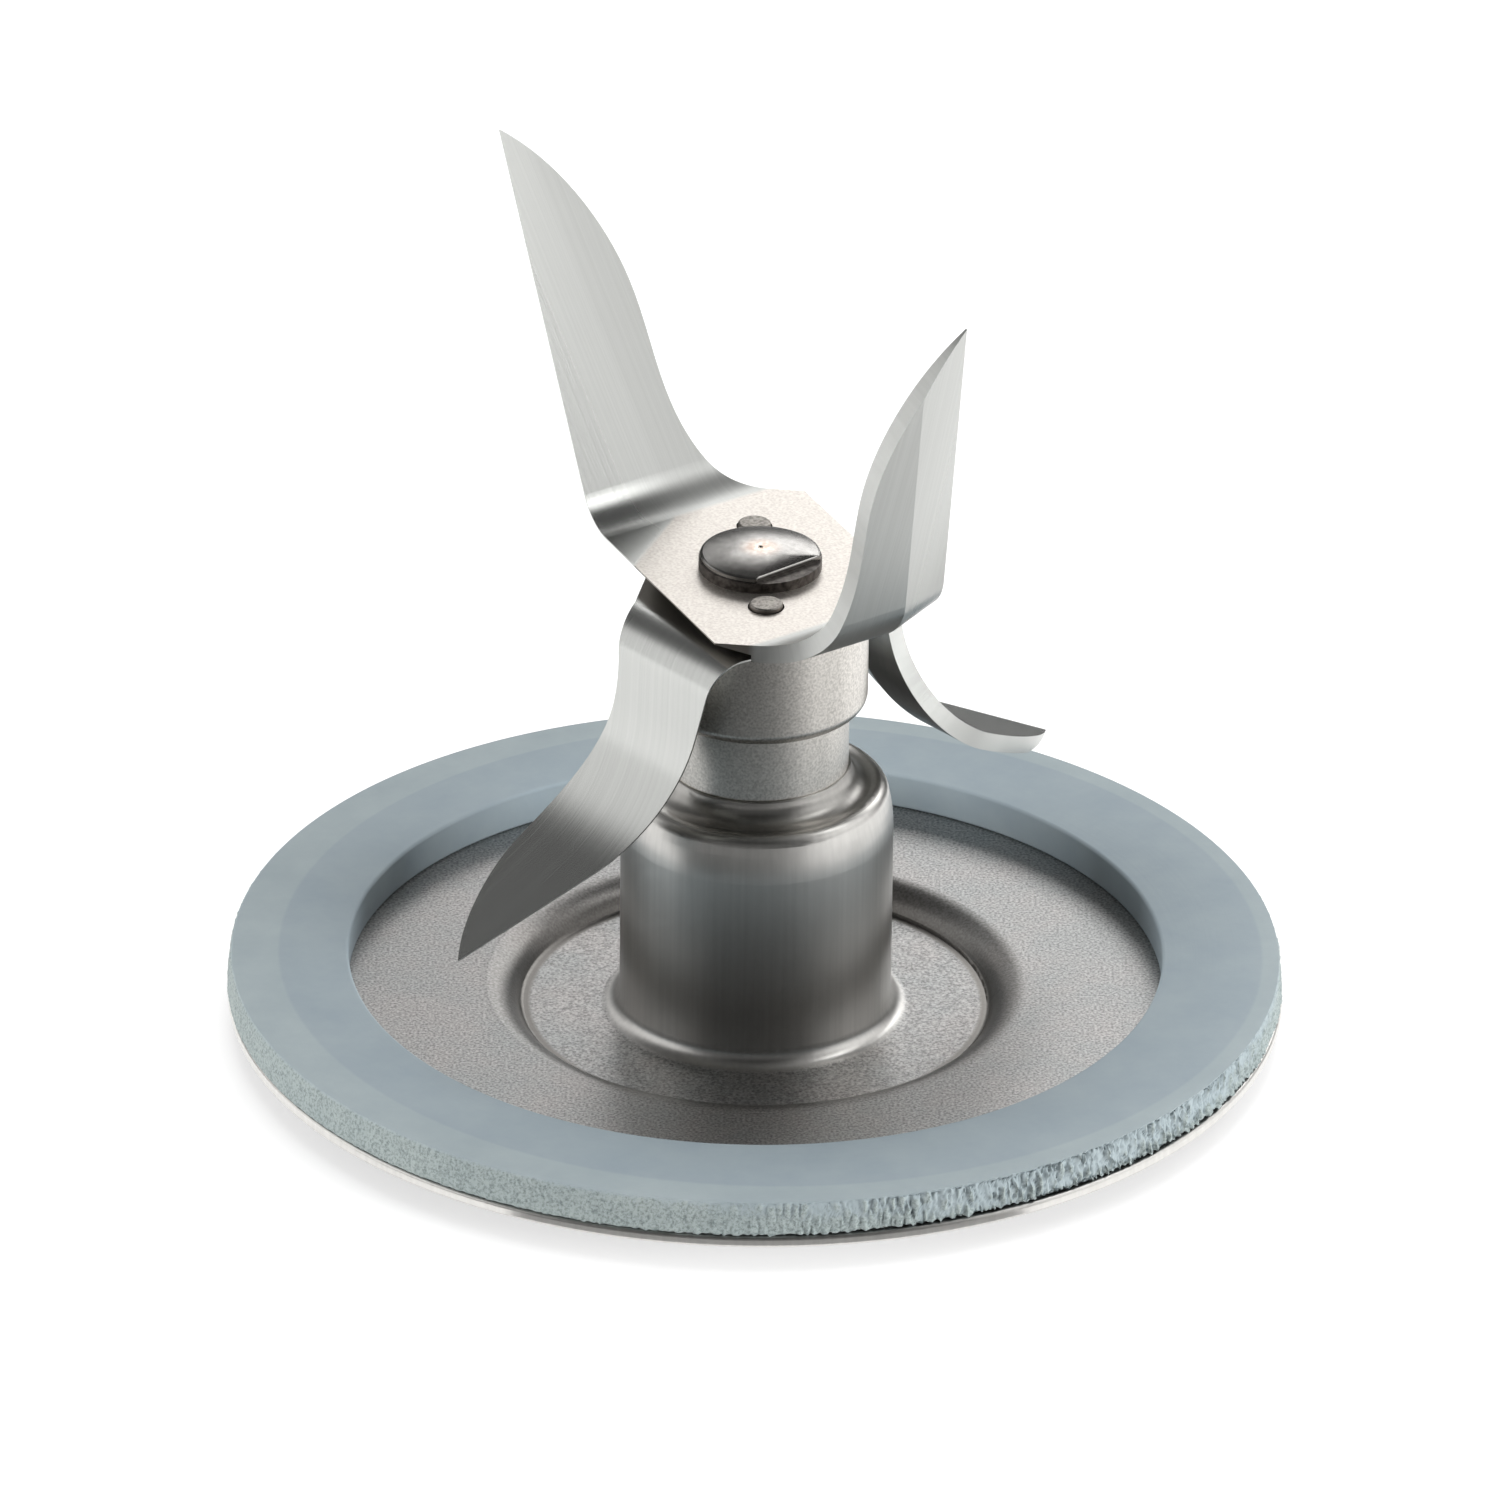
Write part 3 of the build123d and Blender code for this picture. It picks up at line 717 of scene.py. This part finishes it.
def seen_rays(tree):
    """How far a ray is one that the camera, a mirror or glass sees, from 0 to 1."""
    ray = add_node(tree, "ShaderNodeLightPath")
    seen_or_glossy = add_node(
        tree, "ShaderNodeMath", {"operation": "MAXIMUM"},
        links={0: ray.outputs["Is Camera Ray"], 1: ray.outputs["Is Glossy Ray"]},
    )
    seen = add_node(
        tree, "ShaderNodeMath", {"operation": "MAXIMUM"},
        links={0: seen_or_glossy.outputs["Value"], 1: ray.outputs["Is Transmission Ray"]},
    )
    return seen.outputs["Value"]


bpy.ops.mesh.primitive_plane_add(size=floor_size, location=(0, 0, 0))
floor = bpy.context.object
floor.name = "floor"
# White paper: matt, and bright enough to the camera and in the steel to run into the white of the room.
white_paper = bpy.data.materials.new("white_paper")
white_paper.use_nodes = True
tree = white_paper.node_tree
tree.nodes.clear()
seen = seen_rays(tree)
paper = add_node(tree, "ShaderNodeBsdfDiffuse", values={"Color": linear(floor_white)})
glow_strength = add_node(tree, "ShaderNodeMath", {"operation": "MULTIPLY"}, {1: floor_glow}, {0: seen})
glow = add_node(tree, "ShaderNodeEmission", links={"Strength": glow_strength.outputs["Value"]})
lit_paper = add_node(
    tree, "ShaderNodeAddShader", links={0: paper.outputs["BSDF"], 1: glow.outputs["Emission"]},
)
add_node(tree, "ShaderNodeOutputMaterial", links={"Surface": lit_paper.outputs["Shader"]})
floor.data.materials.append(white_paper)

# The room's walls turn into its dark ceiling between two heights, in degrees.
wall_end, ceiling_start = math.radians(33), math.radians(43)
soft_light_strength = 0.45
world = bpy.data.worlds.new("studio")
world.use_nodes = True
bpy.context.scene.world = world
tree = world.node_tree
tree.nodes.clear()
seen = seen_rays(tree)
room_direction = add_node(tree, "ShaderNodeTexCoord").outputs["Generated"]
towards = add_node(tree, "ShaderNodeSeparateXYZ", links={"Vector": room_direction})
room = add_node(tree, "ShaderNodeValToRGB", links={"Fac": towards.outputs["Z"]})
set_stops(room, [(math.sin(wall_end), "ffffff"), (math.sin(ceiling_start), "484848")])
camera_side = add_node(
    tree, "ShaderNodeMapRange", {"interpolation_type": "SMOOTHSTEP"},
    {"From Min": -0.62, "From Max": -0.42, "To Min": 0.1, "To Max": 1.0}, {"Value": towards.outputs["Y"]},
)
low_dark = add_node(
    tree, "ShaderNodeMapRange", {"interpolation_type": "SMOOTHSTEP"},
    {"From Min": 0.22, "From Max": 0.4, "To Min": 0.12, "To Max": 1.0}, {"Value": towards.outputs["Z"]},
)
back_side = add_node(
    tree, "ShaderNodeMapRange", {"interpolation_type": "SMOOTHSTEP"},
    {"From Min": 0.35, "From Max": 0.65}, {"Value": towards.outputs["Y"]},
)
low_back = add_node(
    tree, "ShaderNodeMix", values={"A": 1.0},
    links={"Factor": back_side.outputs["Result"], "B": low_dark.outputs["Result"]},
)
room_strength = add_node(
    tree, "ShaderNodeMath", {"operation": "MULTIPLY"},
    links={0: camera_side.outputs["Result"], 1: low_back.outputs["Result"]},
)
mirrored_room = add_node(
    tree, "ShaderNodeBackground",
    links={"Color": room.outputs["Color"], "Strength": room_strength.outputs["Value"]},
)
soft_light = add_node(
    tree, "ShaderNodeBackground", values={"Color": (1, 1, 1, 1), "Strength": soft_light_strength},
)
room_mix = add_node(
    tree, "ShaderNodeMixShader",
    links={"Fac": seen, 1: soft_light.outputs["Background"], 2: mirrored_room.outputs["Background"]},
)
add_node(tree, "ShaderNodeOutputWorld", links={"Surface": room_mix.outputs["Shader"]})

# Each soft box: its bearing and height in degrees, its distance, width and height in metres, and its power.
# The two fills reach only what isn't shiny.
soft_boxes = {
    "key": (8, 54, 0.6, 0.18, 0.18, 0.25),
    "right_box": (-5, 43, 0.6, 0.45, 0.36, 0.22),
    "back_box": (70, 31, 0.45, 0.34, 0.16, 0.39),
    "right_fill": (-22, 8, 0.6, 0.3, 0.14, 4.8),
    "left_fill": (205, 8, 0.6, 0.3, 0.14, 3.4),
}
for name, (bearing, height, distance, wide, high, power) in soft_boxes.items():
    bearing, height = math.radians(bearing), math.radians(height)
    bpy.ops.object.light_add(type="AREA", location=(
        distance * math.cos(height) * math.cos(bearing),
        distance * math.cos(height) * math.sin(bearing),
        distance * math.sin(height),
    ))
    box = bpy.context.object
    box.name = name
    box.data.shape = "RECTANGLE"
    box.data.size = high
    box.data.size_y = wide
    box.data.energy = power
    box.rotation_euler = (0, math.radians(90) - height, bearing)
    box.visible_glossy = "fill" not in name

# The ceiling light hangs a little behind the object and leans towards it. The steel doesn't mirror it.
bpy.ops.object.light_add(type="AREA", location=(0, 0.25, 0.9))
ceiling_light = bpy.context.object
ceiling_light.name = "ceiling_light"
ceiling_light.data.shape = "DISK"
ceiling_light.data.size = 0.7
ceiling_light.data.energy = 4.0
ceiling_light.visible_glossy = False
ceiling_light.rotation_euler = (math.radians(-15), 0, 0)

# Each card: a part of a ring on the floor, with its two radii in metres, its two bearings and its grey.
# The cards are seen only in the steel, and grow paler from the left to the right. They are painted reflections,
# which stand for the shade on the floor and the dark of the camera's side.
floor_cards = {
    "rim_card": (0.0363, 0.0404, -118, -58, "909090"),
    "left_card": (0.0404, 0.3, -150, -112, "363636"),
    "front_card": (0.0404, 0.3, -112, -88, "4c4c4c"),
    "front_right_card": (0.0404, 0.3, -88, -70, "626262"),
    "side_card": (0.0404, 0.2, -70, -54, "808080"),
    "near_right_card": (0.041, 0.085, -54, -38, "a2a2a2"),
    "right_card": (0.041, 0.085, -38, 4, "d8d8d8"),
    "back_card": (0.06, 0.3, 60, 125, "303030"),
}
card_segments = 180
card_height = 0.5 * mm
for name, (near, far, first, last, grey) in floor_cards.items():
    bpy.ops.mesh.primitive_circle_add(vertices=card_segments, radius=near, location=(0, 0, 0))
    card = bpy.context.object
    card.name = name
    bpy.ops.object.mode_set(mode="EDIT")
    bpy.ops.mesh.select_all(action="SELECT")
    bpy.ops.mesh.extrude_edges_move()
    bpy.ops.transform.resize(value=(far / near, far / near, 1))
    bpy.ops.mesh.select_mode(type="FACE")
    bpy.ops.mesh.select_all(action="DESELECT")
    bpy.ops.object.mode_set(mode="OBJECT")
    for face in card.data.polygons:
        bearing = math.degrees(math.atan2(face.center.y, face.center.x))
        face.select = not first < bearing < last
    bpy.ops.object.mode_set(mode="EDIT")
    bpy.ops.mesh.delete(type="FACE")
    bpy.ops.object.mode_set(mode="OBJECT")
    card.location.z = card_height
    card.visible_camera = False
    card.visible_diffuse = False
    card.visible_shadow = False
    matt_card = bpy.data.materials.new("matt_" + name)
    matt_card.use_nodes = True
    shader = matt_card.node_tree.nodes["Principled BSDF"]
    shader.inputs["Base Color"].default_value = linear(grey)
    shader.inputs["Roughness"].default_value = 0.9
    card.data.materials.append(matt_card)

# The camera looks down at the gasket from the front, with a long lens.
eye_distance = 0.9
eye_elevation = math.radians(27.97)
aim_tilt = math.radians(0.836)
aim_roll = math.radians(0.70)
aim_height = 4.85 * mm
bpy.ops.object.camera_add(location=(
    0,
    -eye_distance * math.cos(eye_elevation),
    aim_height + eye_distance * math.sin(eye_elevation),
))
camera = bpy.context.object
camera.rotation_mode = "ZXY"
camera.rotation_euler = (math.radians(90) - eye_elevation + aim_tilt, 0, aim_roll)
camera.data.sensor_width = 36
camera.data.lens = 324.7
camera.data.shift_x = -0.0053
camera.data.clip_start = 0.01
camera.data.clip_end = 20
bpy.context.scene.camera = camera
bpy.context.scene.view_settings.view_transform = "Standard"
